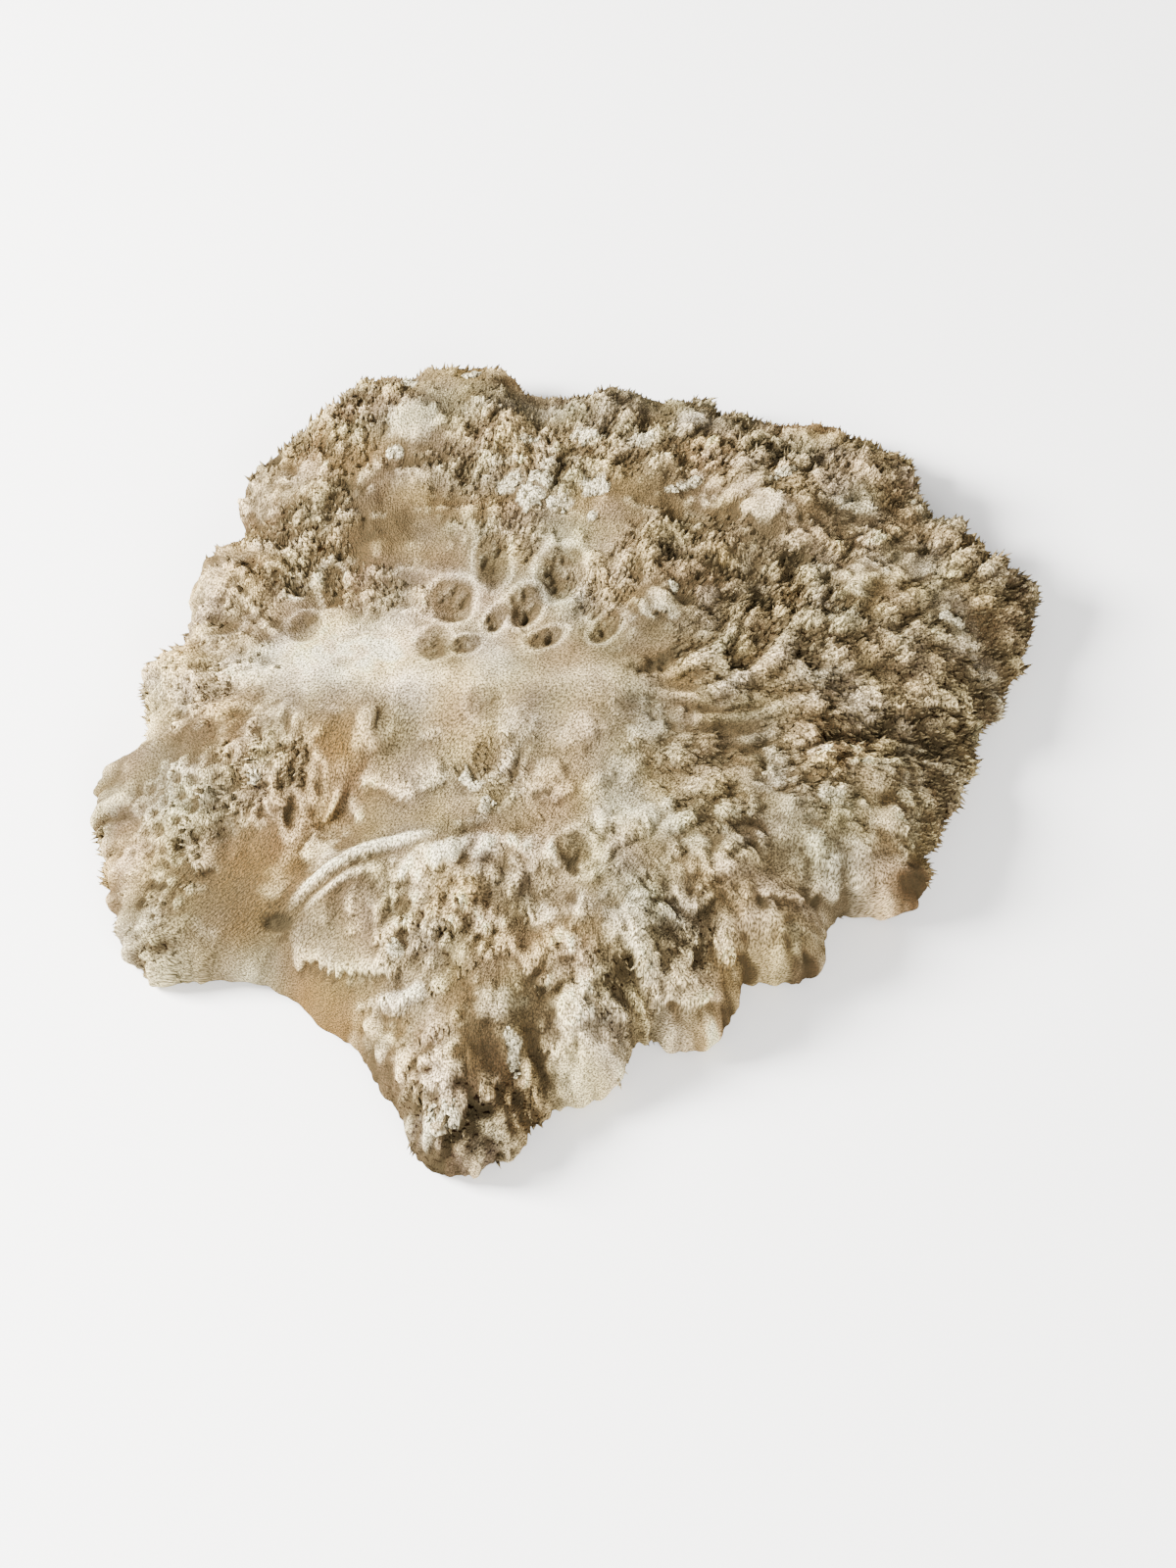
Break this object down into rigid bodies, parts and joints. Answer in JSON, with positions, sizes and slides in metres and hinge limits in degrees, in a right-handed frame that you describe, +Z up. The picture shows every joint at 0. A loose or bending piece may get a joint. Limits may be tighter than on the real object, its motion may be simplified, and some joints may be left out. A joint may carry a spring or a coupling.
{
  "type": "burl cap",
  "caption": "Natural burl cap: a lobed, prickly dome of bark-free wood with eyes, crests and furrows, sawn flat underneath.",
  "frame": {"origin": "on the sawn face, under the middle of the cap's bounding box", "axes": "+Z up out of the wood's natural face, away from the sawn face; +X along the cap's longest side, towards the corner with the ragged broken edge; +Y towards the back of the cap as it lies in the picture"},
  "size_m": [0.393, 0.3692, 0.0798],
  "materials": {
    "weathered_wood": "matte"
  },
  "bodies": {
    "root": {"burl_cap": "weathered_wood"}
  },
  "joints": []
}
